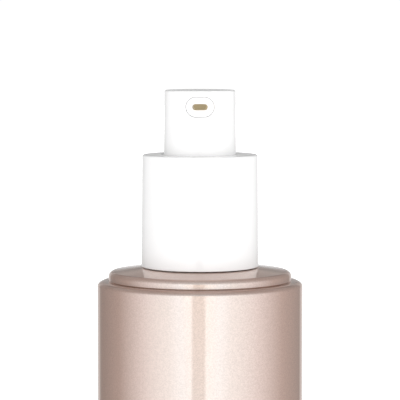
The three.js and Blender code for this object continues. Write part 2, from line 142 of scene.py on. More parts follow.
def finished(name, mesh, sharp=math.radians(50)):
    """The bmesh as a smooth-shaded object whose flat faces stay flat."""
    bmesh.ops.recalc_face_normals(mesh, faces=mesh.faces)
    for face in mesh.faces:
        face.smooth = True
    for edge in mesh.edges:
        edge.smooth = len(edge.link_faces) == 2 and edge.calc_face_angle(0) < sharp
    data = bpy.data.meshes.new(name)
    mesh.to_mesh(data)
    mesh.free()
    piece = bpy.data.objects.new(name, data)
    bpy.context.collection.objects.link(piece)
    weighted = piece.modifiers.new("flat faces stay flat", "WEIGHTED_NORMAL")
    weighted.keep_sharp = True
    return piece


def turned(name, points, closed=True, sides=SIDES, offset=None):
    """A piece turned about Z. offset(angle, point) moves a point of the outline out or in."""
    mesh = bmesh.new()
    rows = []
    for point in points:
        if point.x < 1e-7:
            rows.append([mesh.verts.new((0, 0, point.y))] * sides)
            continue
        row = []
        for side in range(sides):
            angle = 2 * math.pi * side / sides
            radius = point.x + (offset(angle, point) if offset else 0)
            row.append(mesh.verts.new((radius * math.cos(angle), radius * math.sin(angle), point.y)))
        rows.append(row)
    for lower, upper in zip(rows, rows[1:] + (rows[:1] if closed else [])):
        bridge(mesh, lower, upper)
    return finished(name, mesh)


def swept(name, path, across, radius, bore=0, sides=24):
    """A round wire or pipe along a path, with across giving one direction square to it at each point."""
    mesh = bmesh.new()

    def row(index, size):
        ahead = path[min(index + 1, len(path) - 1)] - path[max(index - 1, 0)]
        side = across[index].normalized()
        up = ahead.normalized().cross(side).normalized()
        turns = [2 * math.pi * step / sides for step in range(sides)]
        return [mesh.verts.new(path[index] + (side * math.cos(a) + up * math.sin(a)) * size) for a in turns]

    rows = [row(index, radius) for index in range(len(path))]
    if bore:
        rows += [row(index, bore) for index in reversed(range(len(path)))]
        rows.append(rows[0])
    else:
        rows.insert(0, [mesh.verts.new(path[0])] * sides)
        rows.append([mesh.verts.new(path[-1])] * sides)
    for lower, upper in zip(rows, rows[1:]):
        bridge(mesh, lower, upper)
    return finished(name, mesh)


def obround(width, height, count=96):
    """Evenly spaced points around an outline with two straight sides and two round ends."""
    radius = height / 2
    reach = (width - height) / 2
    arc = math.pi * radius
    total = 4 * reach + 2 * arc
    points = []
    for step in range(count):
        along = (total * step / count + arc / 2) % total
        if along < arc:
            angle = along / radius - math.pi / 2
            points.append(Vector((reach + radius * math.cos(angle), radius * math.sin(angle))))
        elif along < arc + 2 * reach:
            points.append(Vector((reach - (along - arc), radius)))
        elif along < 2 * arc + 2 * reach:
            angle = (along - arc - 2 * reach) / radius + math.pi / 2
            points.append(Vector((-reach + radius * math.cos(angle), radius * math.sin(angle))))
        else:
            points.append(Vector((along - 2 * arc - 3 * reach, -radius)))
    return points


def applied(piece):
    """The piece with its modifiers made part of its mesh, and its flat faces still kept flat."""
    mesh = bmesh.new()
    graph = bpy.context.evaluated_depsgraph_get()
    mesh.from_object(piece, graph)
    bmesh.ops.remove_doubles(mesh, verts=mesh.verts, dist=1e-7)
    bmesh.ops.dissolve_degenerate(mesh, edges=mesh.edges, dist=1e-7)
    name = piece.name
    bpy.data.objects.remove(piece)
    return finished(name, mesh, sharp=math.radians(35))


def combined(piece, tools):
    """The piece after each (operation, tool) boolean."""
    for operation, tool in tools:
        piece.modifiers.clear()
        change = piece.modifiers.new(operation, "BOOLEAN")
        change.operation = operation
        change.solver = "EXACT"
        change.object = tool
        piece = applied(piece)
        bpy.data.objects.remove(tool)
    return piece


def radial_rib(near, far, low, high, width, angle):
    """A flat rib between two distances from the axis, turned to an angle about Z, in millimetres."""
    mesh = bmesh.new()
    turn = Matrix.Rotation(angle, 3, "Z")
    rows = []
    for height in (low, high):
        corners = [(near, -width / 2), (far, -width / 2), (far, width / 2), (near, width / 2)]
        rows.append([mesh.verts.new(turn @ Vector((x, y, height)) * MM) for x, y in corners])
    bridge(mesh, *rows)
    for row in rows:
        mesh.faces.new(row)
    return finished("rib", mesh)


# ------------------------------------------------------------------ glass bottle


def ridge(angle, height, start, root, crest, fade):
    """Share of the thread's depth at an angle and a height, from 0 to 1.

    The ridge starts at a height, is root wide at its foot and crest wide at its top, and fades in
    and out over a share of its length.
    """
    share = 0
    for turn in range(2):
        t = (angle / (2 * math.pi) + turn) / THREAD_TURNS
        if t > 1:
            break
        distance = abs(height - start - THREAD_PITCH * THREAD_TURNS * t)
        flank = min(max((root / 2 - distance) / ((root - crest) / 2), 0), 1)
        share = max(share, flank * min(1, t / fade, (1 - t) / fade))
    return share


def make_bottle():
    """The hollow glass: a dished base, a raised ring on the shoulder, and a threaded neck."""
    outer, ring, neck = widest("bottle"), 16.5, 7.85
    wall, bore = 15.6, 4.95                # radii of the body and the neck inside
    dish, stand = 12.2, 13                 # where the dish under the base ends and the glass stands
    undercut = 0.2                         # of the ring's foot
    crown = SHOULDER + 2.5
    floor = BASE + 7.5
    depth, root, crest = 1.0, 1.5, 0.7     # of the thread
    thread_low = LIP - THREAD_DROP - THREAD_PITCH * THREAD_TURNS
    points = rounded([
        (0, BASE + 0.8, 0),
        (dish, BASE + 0.8, 0.5),
        (stand, BASE, 0.4),
        (outer, BASE, 1.5),
        (outer, SHOULDER, (0.86, 1.35)),
        (ring - undercut, SHOULDER, 0.05),
        (ring, SHOULDER + 0.18, 0.1),
        (ring, SHOULDER + 1.72, (0.87, 0.9)),
        (10.5, crown, 0.5),
        (neck, crown, 0.8),
        (neck, LIP, 0.45),
        (bore, LIP, 0.45),
        (bore, SHOULDER - 1.4, 2),
        (wall, SHOULDER - 2.1, 4),
        (wall, floor, 2.5),
        (0, floor, 0),
    ], closed=False)
    points = refined(points, thread_low - 1, LIP - 1, THREAD_STEP)

    def thread(angle, point):
        if abs(point.x - neck * MM) > SAME_RADIUS:
            return 0
        return depth * MM * ridge(angle, point.y / MM, thread_low, root, crest, fade=0.06)

    return turned("bottle_glass", points, closed=False, offset=thread)


# ------------------------------------------------------------------ collar

COLLAR_RIBS = 12               # keep the sleeve from turning on the closure
COLLAR_SIDES = 360


def near_a_rib(angle, half_width):
    """Whether an angle about Z lies within a half width, as an angle, of one of the ribs."""
    folds = COLLAR_RIBS / 2
    return abs(math.sin(folds * angle)) < math.sin(folds * half_width)


def make_closure():
    """The threaded cap, with upright grooves round its top that take the sleeve's ribs."""
    outer, root, hole = 9.72, 9.1, 7
    bore = 8.55                            # around the pump's flange
    low, web, high = -12.05, 2.1, 2.95     # above the lip, as in the outline
    depth, thread_root, thread_crest = 0.95, 1.3, 0.6
    groove_floor, groove_low, groove_half = 9.42, -0.15, 0.625
    thread_low = LIP - THREAD_DROP - 1.25 - THREAD_PITCH * THREAD_TURNS
    points = rounded(above_lip([
        (root, low, 0.15),
        (outer, low, 0.15),
        (outer, high, 0.3),
        (hole, high, 0.2),
        (hole, web, 0.15),
        (bore, web, 0.15),
        (bore, -0.35, 0.2),
        (root, -0.85, 0.2),
    ]))
    points = refined(points, LIP - 12, LIP + 3, THREAD_STEP)

    def detail(angle, point):
        if abs(point.x - root * MM) < SAME_RADIUS:
            height = point.y / MM
            return -depth * MM * ridge(angle, height, thread_low, thread_root, thread_crest, fade=0.01)
        in_groove = near_a_rib(angle, groove_half / outer)
        if in_groove and point.x > 9.5 * MM and point.y > (LIP + groove_low) * MM:
            return groove_floor * MM - point.x
        return 0

    return turned("screw_closure_cap", points, sides=COLLAR_SIDES, offset=detail)


def make_sleeve():
    """The glossy outer sleeve, with a snap bead inside its foot and ribs inside its wall."""
    low, high = foot("collar_sleeve"), top("collar_sleeve")
    foot_radius, top_radius, hole = 10.56, 10.38, 6.75
    bore, bead = 9.88, 9.55
    plate = high - 1.2
    rib_depth, rib_half, rib_low = 0.28, 0.4, LIP + 0.15
    points = rounded([
        (bore, low, 0.12),
        (foot_radius, low, 0.15),
        (top_radius, high, 0.35),
        (hole, high, 0.2),
        (hole, plate, 0.15),
        (bore, plate, 0.3),
        (bore, low + 0.9, 0.1),
        (bead, low + 0.6, 0.1),
        (bead, low + 0.3, 0.1),
    ])
    points = refined(points, LIP - 1, high - 1.5, 0.3)

    def ribs(angle, point):
        on_wall = abs(point.x - bore * MM) < SAME_RADIUS and point.y > rib_low * MM
        return -rib_depth * MM if on_wall and near_a_rib(angle, rib_half / bore) else 0

    return turned("collar_shell", points, sides=COLLAR_SIDES, offset=ribs)


def make_gasket():
    """The flat seal between the lip of the glass and the pump's flange."""
    bore, rim = 4.6, widest("neck_gasket")
    low, high = foot("neck_gasket"), top("neck_gasket")
    corners = [(bore, low, 0.12), (rim, low, 0.12), (rim, high, 0.12), (bore, high, 0.12)]
    return turned("neck_gasket_ring", rounded(corners))


# ------------------------------------------------------------------ pump engine


def cross_hole(radius, length, centre, height):
    """A round cutting tool along X, with its middle at a distance from the axis and above the lip."""
    half = length / 2
    corners = [(0, -half, 0), (radius, -half, 0), (radius, half, 0), (0, half, 0)]
    tool = turned("hole", rounded(corners, closed=False), closed=False, sides=48)
    lay_down = Matrix.Rotation(math.pi / 2, 4, "Y")
    tool.data.transform(Matrix.Translation((centre * MM, 0, (LIP + height) * MM)) @ lay_down)
    return tool


def make_housing():
    """The pump's cylinder: flange, piston bore, spring bore, ball chamber and dip-tube socket."""
    flange, wall, spring_wall, socket_wall = 8.3, 4.45, 3.7, 2.45
    bore, spring_bore, chamber, seat, socket = 3.65, 2.95, 1.75, 0.75, 1.72
    low, socket_top, seat_low, spring_ledge, bore_low = -26.85, -20.45, -19.5, -15.55, -10.05
    flange_low, flange_top = 1.0, 1.95
    body = turned("pump_housing_cylinder", rounded(above_lip([
        (socket, low, 0.1),
        (socket_wall, low, 0.2),
        (socket_wall, socket_top, 0.3),
        (spring_wall, seat_low, 0.3),
        (spring_wall, bore_low - 1, 0.3),
        (wall, bore_low, 0.3),
        (wall, flange_low, 0.2),
        (flange, flange_low, 0.15),
        (flange, flange_top, 0.15),
        (bore, flange_top, 0.2),
        (bore, bore_low, 0.2),
        (spring_bore, bore_low - 1, 0.2),
        (spring_bore, spring_ledge, 0.2),
        (chamber, spring_ledge, 0.15),
        (chamber, seat_low + 1, 0.1),
        (seat, seat_low, 0.1),
        (seat, socket_top, 0.1),
        (socket, socket_top, 0.1),
    ])))
    vent = cross_hole(0.4, 3, centre=(bore + wall) / 2, height=-3.15)
    nib_top = LIP + spring_ledge - 0.4
    nibs = [
        radial_rib(1, chamber + 0.2, nib_top - 0.6, nib_top, 0.6, math.pi / 2 * quarter)
        for quarter in range(4)
    ]
    return combined(body, [("DIFFERENCE", vent)] + [("UNION", nib) for nib in nibs])


def make_retainer():
    """The guide that closes the housing: a plug, a flange and a sleeve around the stem."""
    bore, plug, flange, sleeve = 2.25, 3.55, 5.2, 3.3
    low, flange_low, flange_top, high = -1.45, 2.1, 2.85, 5.15
    return turned("housing_retainer_guide", rounded(above_lip([
        (bore, low, 0.1),
        (plug, low, 0.4),
        (plug, flange_low, 0.1),
        (flange, flange_low, 0.12),
        (flange, flange_top, 0.2),
        (sleeve, flange_top, 0.3),
        (sleeve, high, 0.4),
        (bore, high, 0.25),
    ])), sides=THIN_SIDES)


def make_stem():
    """The hollow rod under the actuator, wider inside where it takes the seat's rod."""
    outer, socket, bore = 2.1, 1.55, 1.25
    low, socket_top, high = -2.55, 2.05, 14.45
    return turned("stem_rod", rounded(above_lip([
        (socket, low, 0.1),
        (outer, low, 0.15),
        (outer, high, 0.15),
        (bore, high, 0.1),
        (bore, socket_top + 0.3, 0.05),
        (socket, socket_top, 0.05),
    ])), sides=THIN_SIDES)


def make_seat():
    """The rod in the piston: a spring pilot, the head that seals the piston, and a hollow shank."""
    pilot, head, shank, bore = 1.85, 2.6, 1.45, 0.75
    low, head_low, head_top, bore_low, high = -7.85, -6.95, -6.05, -5.75, 1.9
    body = turned("piston_seat_rod", rounded(above_lip([
        (0, low, 0),
        (pilot, low, 0.3),
        (pilot, head_low, 0.1),
        (head, head_low, 0.15),
        (head, head_top, 0.15),
        (shank, head_top, 0.1),
        (shank, high, 0.15),
        (bore, high, 0.1),
        (bore, bore_low, 0.1),
        (0, bore_low, 0),
    ]), closed=False), closed=False, sides=THIN_SIDES)
    port = cross_hole(0.4, 6, centre=0, height=bore_low + 0.2)
    return combined(body, [("DIFFERENCE", port)])


def make_piston():
    """The soft piston: a hub around the seat's rod, and a lip at each end that wipes the bore."""
    lip, waist, inner, lip_inside = 3.55, 3.35, 2.95, 3.2
    hub, bore = 2.3, 1.6
    low, high = -6.55, -1.75               # edges of the two lips
    web_low, web_top = -5.05, -4.05
    return turned("piston_cup", rounded(above_lip([
        (bore, -5.95, 0.1),
        (hub, -5.95, 0.15),
        (hub, web_low, 0.2),
        (inner, web_low, 0.2),
        (lip_inside, low, 0.05),
        (lip, low, 0.1),
        (lip, low + 0.5, 0.2),
        (waist, low + 1, 0.2),
        (waist, high - 1, 0.2),
        (lip, high - 0.5, 0.2),
        (lip, high, 0.1),
        (lip_inside, high, 0.05),
        (inner, web_top, 0.2),
        (hub, web_top, 0.2),
        (hub, -3.25, 0.15),
        (bore, -3.25, 0.1),
    ])), sides=THIN_SIDES)


def make_spring():
    """A wire with one closed turn at each end and even turns between them."""
    radius, wire, closed_pitch, active = 2.3, 0.2, 0.45, 5
    low = foot("return_spring") + wire
    high = top("return_spring") - wire
    pitch = (high - low - 2 * closed_pitch) / active
    steps_per_turn = 48
    path, across = [], []
    for step in range((active + 2) * steps_per_turn + 1):
        turn = step / steps_per_turn
        open_turns = min(max(turn - 1, 0), active)
        height = low + closed_pitch * (turn - open_turns) + pitch * open_turns
        outward = Vector((math.cos(2 * math.pi * turn), math.sin(2 * math.pi * turn), 0))
        across.append(outward)
        path.append((outward * radius + Vector((0, 0, height))) * MM)
    return swept("return_spring_wire", path, across, wire * MM, sides=14)


def make_ball():
    """The ball of the inlet valve."""
    low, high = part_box("check_ball")
    centre = (low.z + high.z) / 2
    radius = (high.z - low.z) / 2
    arc = [math.pi * (step / 32 - 0.5) for step in range(33)]
    points = [Vector((radius * math.cos(a), centre + radius * math.sin(a))) for a in arc]
    return turned("check_ball_glass", points, closed=False, sides=64)


def make_dip_tube():
    """Straight out of the housing, then bent in one curve to the foot of the wall."""
    radius, bore = 1.6, 1.05
    start = Vector((0, 0, top("dip_tube")))
    bend = Vector((0, 0, LIP - 28.5))
    toe = Vector((10.6, 0, LIP - 61.4))
    first_pull = bend - Vector((0, 0, 14))
    last_pull = toe + Vector((-4.6, 0, 12))
    path = [start.lerp(bend, step / 6) for step in range(6)]
    for step in range(41):
        t = step / 40
        s = 1 - t
        path.append(bend * s**3 + first_pull * 3 * s * s * t + last_pull * 3 * s * t * t + toe * t**3)
    path = [point * MM for point in path]
    across = [Vector((0, 1, 0))] * len(path)
    return swept("dip_tube_pipe", path, across, radius * MM, bore=bore * MM, sides=48)


# ------------------------------------------------------------------ actuator and spout

BUTTON_LOW, BUTTON_HIGH = foot("actuator"), top("actuator")
BUTTON_RADII = (6.52, 6.32)    # at the foot and at the top
SPOUT_HEIGHT = LIP + 16.05
SPOUT_BACK = 3.4               # distance of the insert's inner end from the axis
POCKET = (5.1, 3.6)            # width and height of the pocket's mouth
INSERT_GAP = 0.055             # seam around the insert
SEAM_ROUND = 0.17              # rounding of both its edges
SLOT = (2.74, 1.1)
SLOT_ROUND = 0.08              # rounding of the slot's rim


def wall_radius(height):
    """Radius of the actuator's tapered wall at a height, in millimetres."""
    share = (height - BUTTON_LOW) / (BUTTON_HIGH - BUTTON_LOW)
    return BUTTON_RADII[0] * (1 - share) + BUTTON_RADII[1] * share


def on_wall(point, depth):
    """A point of the spout's outline laid on the actuator's wall, at a depth under it."""
    height = SPOUT_HEIGHT + point.y
    radius = wall_radius(height)
    return Vector((point.x, -math.sqrt(radius**2 - point.x**2) + depth, height)) * MM


def at_distance(point, distance):
    """A point of the spout's outline on a flat plane in front of the axis."""
    return Vector((point.x, -distance, SPOUT_HEIGHT + point.y)) * MM


def spout_row(mesh, size, spread, depth):
    """A row of points on the spout's outline, spread outwards, at a depth under the wall."""
    width, height = size
    outline = obround(width + 2 * spread, height + 2 * spread)
    return [mesh.verts.new(on_wall(point, depth)) for point in outline]


def flat_row(mesh, size, distance):
    """A row of points on an outline, flat, at a distance in front of the axis."""
    return [mesh.verts.new(at_distance(point, distance)) for point in obround(*size)]


def prism(name, size, near, far):
    """A cutting tool or boss along Y between two distances in front of the axis."""
    mesh = bmesh.new()
    rows = [flat_row(mesh, size, near), flat_row(mesh, size, far)]
    bridge(mesh, *rows)
    for row in rows:
        mesh.faces.new(row)
    return finished(name, mesh)


def pocket_tool(edge):
    """The pocket's shape, flared at its mouth so that the wall's edge comes out rounded."""
    mesh = bmesh.new()
    proud = 0.01                           # the tool starts this far outside the wall
    flared = tuple(side + 2 * edge + 1 for side in POCKET)
    rows = [flat_row(mesh, flared, BUTTON_RADII[0] + 1), spout_row(mesh, POCKET, edge + proud, -proud)]
    for step in range(1, CORNER_STEPS + 1):
        angle = math.pi / 2 * step / CORNER_STEPS
        rows.append(spout_row(mesh, POCKET, edge * (1 - math.sin(angle)), edge * (1 - math.cos(angle))))
    rows.append(flat_row(mesh, POCKET, SPOUT_BACK - 0.1))
    for lower, upper in zip(rows, rows[1:]):
        bridge(mesh, lower, upper)
    mesh.faces.new(rows[0])
    mesh.faces.new(rows[-1])
    return finished("pocket", mesh)


def make_actuator():
    """The button: a cup with a hub that grips the stem, three ribs and a boss around the spout."""
    low, high = BUTTON_LOW, BUTTON_HIGH
    riser, socket, hub, inside = 1.2, 2.2, 3.1, 5.45
    riser_top = SPOUT_HEIGHT + riser
    socket_top = LIP + 14.55
    hub_low = low + 3.1
    roof = high - 1.25
    overlap = 0.2                          # of a rib with what it stands on
    body = turned("actuator_button", rounded([
        (0, riser_top, 0),
        (riser, riser_top, 0.3),
        (riser, socket_top, 0.1),
        (socket, socket_top, 0.1),
        (socket, hub_low, 0.2),
        (hub, hub_low, 0.2),
        (hub, roof, 0.4),
        (inside, roof, 0.5),
        (inside, low, 0.15),
        (BUTTON_RADII[0], low, 0.2),
        (BUTTON_RADII[1], high, 0.35),
        (0, high, 0),
    ], closed=False), closed=False)
    boss_wall = 0.6                        # around the pocket
    boss_size = tuple(side + 2 * boss_wall for side in POCKET)
    boss = prism("boss", boss_size, 2.5, 5.8)
    channel = prism("channel", (2.2, 1.5), 0, SPOUT_BACK)
    ribs = [
        radial_rib(hub - overlap, inside + overlap, LIP + 10.2, roof + overlap, 0.7, math.pi / 2 * quarter)
        for quarter in range(3)
    ]
    additions = [("UNION", tool) for tool in [boss] + ribs]
    return combined(body, additions + [("DIFFERENCE", pocket_tool(SEAM_ROUND)), ("DIFFERENCE", channel)])


def make_nozzle():
    """The rounded insert with the slot, a little smaller than its pocket and a little behind the wall."""
    size = (POCKET[0] - 2 * INSERT_GAP, POCKET[1] - 2 * INSERT_GAP)
    edge, recess = SEAM_ROUND, 0.02
    mesh = bmesh.new()
    rows = [flat_row(mesh, SLOT, SPOUT_BACK)]
    for step in range(CORNER_STEPS + 1):
        angle = math.pi / 2 * step / CORNER_STEPS
        depth = recess + SLOT_ROUND * (1 - math.sin(angle))
        rows.append(spout_row(mesh, SLOT, SLOT_ROUND * (1 - math.cos(angle)), depth))
    slot_edge = obround(SLOT[0] + 2 * SLOT_ROUND, SLOT[1] + 2 * SLOT_ROUND)
    rim_edge = obround(size[0] - 2 * edge, size[1] - 2 * edge)
    for share in (0.25, 0.5, 0.75):
        points = [inner.lerp(outer, share) for inner, outer in zip(slot_edge, rim_edge)]
        rows.append([mesh.verts.new(on_wall(point, recess)) for point in points])
    for step in range(CORNER_STEPS + 1):
        angle = math.pi / 2 * step / CORNER_STEPS
        depth = recess + edge * (1 - math.cos(angle))
        rows.append(spout_row(mesh, size, -edge * (1 - math.sin(angle)), depth))
    rows.append(flat_row(mesh, size, SPOUT_BACK))
    for lower, upper in zip(rows, rows[1:] + rows[:1]):
        bridge(mesh, lower, upper)
    return finished("nozzle_insert_tip", mesh)


# ------------------------------------------------------------------ materials


def new_material(name):
    """A material with its nodes, links and Principled shader."""
    material = bpy.data.materials.new(name)
    material.use_nodes = True
    nodes = material.node_tree.nodes
    return material, nodes, material.node_tree.links, nodes["Principled BSDF"]


def object_position(nodes):
    """The place on the piece itself, in metres, so that a pattern moves with it."""
    return nodes.new("ShaderNodeTexCoord").outputs["Object"]


def add_noise(nodes, links, position, scale, detail=2.0):
    """Soft noise with about as many blotches to the metre as its scale."""
    noise = nodes.new("ShaderNodeTexNoise")
    noise.inputs["Scale"].default_value = scale
    noise.inputs["Detail"].default_value = detail
    links.new(position, noise.inputs["Vector"])
    return noise.outputs["Fac"]


def add_ramp(nodes, links, factor, stops):
    """A colour ramp through (place, colour) stops."""
    ramp = nodes.new("ShaderNodeValToRGB")
    elements = ramp.color_ramp.elements
    while len(elements) < len(stops):
        elements.new(0.5)
    for element, (place, colour) in zip(elements, stops):
        element.position = place
        element.color = (*colour, 1)
    links.new(factor, ramp.inputs["Fac"])
    return ramp.outputs["Color"]


def add_bump(nodes, links, height, strength, distance):
    """A normal that follows a height, with its distance in metres."""
    bump = nodes.new("ShaderNodeBump")
    bump.inputs["Strength"].default_value = strength
    bump.inputs["Distance"].default_value = distance
    links.new(height, bump.inputs["Height"])
    return bump.outputs["Normal"]


FLAKES_PER_METRE = 7000
FLAKE_SHADE = 0.83             # brightness of the darkest flakes


def pearl_coat():
    """Rose-champagne pearl lacquer, pale where it faces the eye and rosier as it turns away: partly its own
    flip, partly a painted highlight facing the eye, painted shade towards the edges and a painted bright
    rim near the outline.

    Fine flakes lean a little each way and differ in brightness, under a clear high gloss.
    """
    material, nodes, links, shader = new_material("pearl_coat")
    flakes = nodes.new("ShaderNodeTexVoronoi")
    flakes.inputs["Scale"].default_value = FLAKES_PER_METRE
    links.new(object_position(nodes), flakes.inputs["Vector"])
    grain = nodes.new("ShaderNodeSeparateColor")
    links.new(flakes.outputs["Color"], grain.inputs["Color"])
    facing = nodes.new("ShaderNodeLayerWeight")
    facing.inputs["Blend"].default_value = 0.5
    # Partly the pearl's own flip, partly painted light: the pale, nearly neutral stops facing the eye are a
    # painted highlight, the darker rose stops towards the edges are painted shade, and the bright stop at
    # 0.84 is a painted bright rim.
    flip_and_painted_highlight = add_ramp(nodes, links, facing.outputs["Facing"], [
        (0.00, (0.77, 0.61, 0.52)),
        (0.025, (0.67, 0.59, 0.55)),
        (0.06, (0.61, 0.51, 0.46)),
        (0.18, (0.56, 0.42, 0.37)),
        (0.40, (0.44, 0.28, 0.22)),
        (0.75, (0.38, 0.23, 0.17)),
        (0.84, (1.00, 0.81, 0.73)),
        (0.93, (0.46, 0.32, 0.26)),
        (1.00, (0.48, 0.36, 0.31)),
    ])
    shade = add_ramp(nodes, links, grain.outputs["Red"], [(0.0, (FLAKE_SHADE,) * 3), (1.0, (1, 1, 1))])
    mixed = nodes.new("ShaderNodeMix")
    mixed.data_type = "RGBA"
    mixed.blend_type = "MULTIPLY"
    mixed.inputs["Factor"].default_value = 1
    links.new(flip_and_painted_highlight, mixed.inputs["A"])
    links.new(shade, mixed.inputs["B"])
    links.new(mixed.outputs["Result"], shader.inputs["Base Color"])
    links.new(add_bump(nodes, links, grain.outputs["Green"], 0.25, 0.00002), shader.inputs["Normal"])
    shader.inputs["Metallic"].default_value = 0.7
    shader.inputs["Roughness"].default_value = 0.48
    shader.inputs["Coat Weight"].default_value = 1.0
    shader.inputs["Coat Roughness"].default_value = 0.03
    shader.inputs["Coat IOR"].default_value = 2.1
    shader.inputs["Specular Tint"].default_value = (0.85, 0.65, 0.55, 1)
    return material


def moulded(name, colour, roughness, cloud=0.03):
    """Moulded plastic with a faint unevenness of colour and of surface."""
    material, nodes, links, shader = new_material(name)
    position = object_position(nodes)
    darker = tuple(channel * (1 - cloud) for channel in colour)
    clouds = add_noise(nodes, links, position, 350)
    links.new(add_ramp(nodes, links, clouds, [(0.3, darker), (0.7, colour)]), shader.inputs["Base Color"])
    skin = add_noise(nodes, links, position, 2500, 3.0)
    links.new(add_bump(nodes, links, skin, 0.05, 0.00001), shader.inputs["Normal"])
    shader.inputs["Roughness"].default_value = roughness
    return material


def painted_spout_shade_glow():
    """The inside of the spout: painted warm shade in its colour and a painted glow in its emission, in
    place of the light that comes through its thin white walls.
    """
    material, nodes, links, shader = new_material("spout_painted_shade_glow")
    blotches = add_noise(nodes, links, object_position(nodes), 900)
    # Painted shade: a dim, blotchy khaki for the inside of the spout; the emission below is a painted glow.
    colour = add_ramp(nodes, links, blotches, [(0.3, (0.38, 0.33, 0.23)), (0.7, (0.45, 0.39, 0.28))])
    links.new(colour, shader.inputs["Base Color"])
    shader.inputs["Roughness"].default_value = 0.5
    shader.inputs["Emission Color"].default_value = (0.40, 0.34, 0.23, 1)
    shader.inputs["Emission Strength"].default_value = 0.6
    return material


def drawn_steel():
    """Bright steel wire with faint drawing marks."""
    material, nodes, links, shader = new_material("drawn_steel")
    marks = add_noise(nodes, links, object_position(nodes), 3000)
    colour = add_ramp(nodes, links, marks, [(0.3, (0.52, 0.53, 0.54)), (0.7, (0.66, 0.67, 0.68))])
    links.new(colour, shader.inputs["Base Color"])
    shader.inputs["Metallic"].default_value = 1
    shader.inputs["Roughness"].default_value = 0.25
    return material


def ball_glass():
    """Clear, faintly green glass."""
    material, nodes, links, shader = new_material("ball_glass")
    clouds = add_noise(nodes, links, object_position(nodes), 500)
    colour = add_ramp(nodes, links, clouds, [(0.3, (0.86, 0.93, 0.91)), (0.7, (0.93, 0.97, 0.96))])
    links.new(colour, shader.inputs["Base Color"])
    shader.inputs["Roughness"].default_value = 0.03
    shader.inputs["Transmission Weight"].default_value = 1
    return material


def tint_inside(piece, material, low, high):
    """Gives the faces inside a box, in millimetres, a material of their own."""
    piece.data.materials.append(material)
    for face in piece.data.polygons:
        if all(least <= place / MM <= most for least, place, most in zip(low, face.center, high)):
            face.material_index = 1


# ------------------------------------------------------------------ stage

STAGE_RADIUS = 2.4             # of the floor and the backdrop; the stage is in metres
FLOOR_PAINTED_SHADE = (0.02, 0.25)    # the floor's painted shade around the object lifts between these distances from the axis
FLOOR_GLOW = (0.25, 1.0)       # and its own glow there, dimmed near the object as painted shade
CEILING_LIGHT = 0.62           # brightness of the room above the softbox
TABLE_LIGHT = 1.10             # and of the white table below it
HORIZON = (-0.5, 0.5)          # heights of the directions between which one turns into the other
BAND_LIGHT = 2.07              # brightness of the softbox where it is brightest
BAND_RADIUS = 0.9
BAND_REACH = 0.55              # half the height of the softbox
BAND_MIDDLE = 0.05             # height of its middle
BAND_GAP = (8.2, 5.3)          # degrees from the front to the left and right ends of its gap
GAP_LEVEL = 0.22               # brightness in the gap, as a share of the full brightness

# (degrees from the front, share of full brightness) round each side of the softbox
LEFT_LEVELS = ((30, 0.84), (58, 0.73), (100, 0.32), (140, 0.19), (155, 0.24), (168, 0.45))
RIGHT_LEVELS = ((32, 0.84), (61, 0.74), (108, 0.38), (145, 0.23), (155, 0.26), (168, 0.45))

BACK_ZONE = ((0.42, 0), (0.47, 1), (0.53, 1), (0.58, 0))    # shares of a turn: where it dims high up
BACK_SHADE = (0.05, 0.19)      # heights between which it dims there
BACK_LEVEL = 0.22              # and what is left of its light above them


def seen_by_camera_only(stand):
    """A floor or backdrop that neither lights the object nor shows in its gloss."""
    stand.visible_diffuse = False
    stand.visible_glossy = False
    stand.visible_transmission = False
    stand.visible_shadow = False


def make_floor():
    """A pale floor that takes a soft shadow near the object, where its own glow is dimmed as painted shade,
    and fades into the white backdrop.
    """
    bpy.ops.mesh.primitive_circle_add(
        vertices=96, radius=STAGE_RADIUS, fill_type="NGON", location=(0, 0, 0),
    )
    floor = bpy.context.object
    floor.name = "floor"
    material, nodes, links, shader = new_material("pale_floor")
    distance = nodes.new("ShaderNodeVectorMath")
    distance.operation = "LENGTH"
    links.new(object_position(nodes), distance.inputs[0])
    # Painted shade: the floor's own glow is dimmer close to the object, beneath its real soft shadow.
    glow = nodes.new("ShaderNodeMapRange")
    glow.inputs["From Min"].default_value, glow.inputs["From Max"].default_value = FLOOR_PAINTED_SHADE
    glow.inputs["To Min"].default_value, glow.inputs["To Max"].default_value = FLOOR_GLOW
    links.new(distance.outputs["Value"], glow.inputs["Value"])
    links.new(glow.outputs["Result"], shader.inputs["Emission Strength"])
    shader.inputs["Emission Color"].default_value = (1, 1, 1, 1)
    shader.inputs["Base Color"].default_value = (0.85, 0.85, 0.85, 1)
    shader.inputs["Roughness"].default_value = 0.9
    floor.data.materials.append(material)
    seen_by_camera_only(floor)


def make_backdrop():
    """A white dome all round."""
    bpy.ops.mesh.primitive_uv_sphere_add(
        segments=48, ring_count=24, radius=STAGE_RADIUS, location=(0, 0, 0),
    )
    dome = bpy.context.object
    dome.name = "backdrop"
    material, _, _, shader = new_material("white_backdrop")
    shader.inputs["Base Color"].default_value = (0, 0, 0, 1)
    shader.inputs["Emission Color"].default_value = (1, 1, 1, 1)
    shader.inputs["Emission Strength"].default_value = 1.0
    dome.data.materials.append(material)
    seen_by_camera_only(dome)


def light_band():
    """A broad curved softbox that goes right round: bright in front, with a narrow gap in its middle."""
    mesh = bmesh.new()
    rows = []
    for height in (-BAND_REACH, BAND_REACH):
        row = []
        for side in range(SIDES):
            angle = 2 * math.pi * side / SIDES
            place = (BAND_RADIUS * math.cos(angle), BAND_RADIUS * math.sin(angle), height + BAND_MIDDLE)
            row.append(mesh.verts.new(place))
        rows.append(row)
    bridge(mesh, *rows)
    band = finished("light_band", mesh)
    band.data.materials.append(softbox_glow())
    band.visible_camera = False
    band.visible_shadow = False


